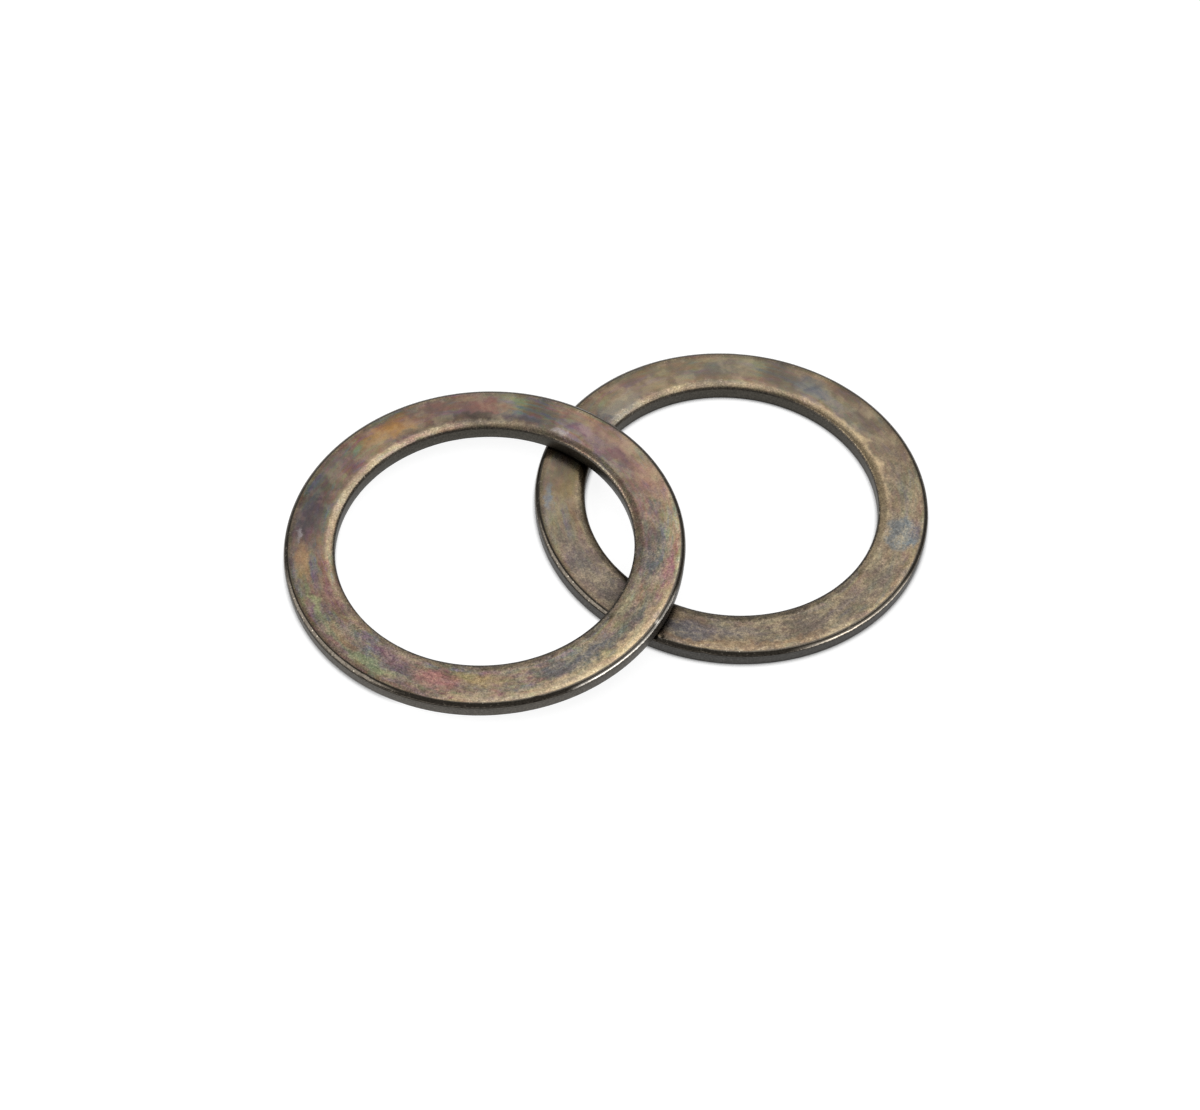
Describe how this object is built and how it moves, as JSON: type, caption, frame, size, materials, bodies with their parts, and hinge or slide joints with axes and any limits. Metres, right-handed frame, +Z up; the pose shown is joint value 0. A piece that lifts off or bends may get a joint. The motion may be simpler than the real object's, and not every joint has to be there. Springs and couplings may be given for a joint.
{
  "type": "pair of pedal washers",
  "caption": "Thin flat steel rings with softly rolled punched edges, lying with one leaning on the other. They seat a bicycle pedal's axle against its crank arm.",
  "frame": {"origin": "centre of the lower washer's bore, on the plane that both washers rest on", "axes": "+Z up, along the lower washer's axis; +X along the line between the two bores' centres, away from the upper washer, which lies towards -X; the long way of the pair"},
  "size_m": [0.033, 0.02, 0.0021],
  "materials": {
    "lower_washer_steel": "satin punched steel with a bronze heat tint, a few blue spots and darker edges",
    "upper_washer_steel": "satin punched steel with a bronze heat tint that turns to mauve, gold, green and blue, and darker edges"
  },
  "bodies": {
    "root": {"lower_washer": "lower_washer_steel", "upper_washer": "upper_washer_steel"}
  },
  "joints": []
}
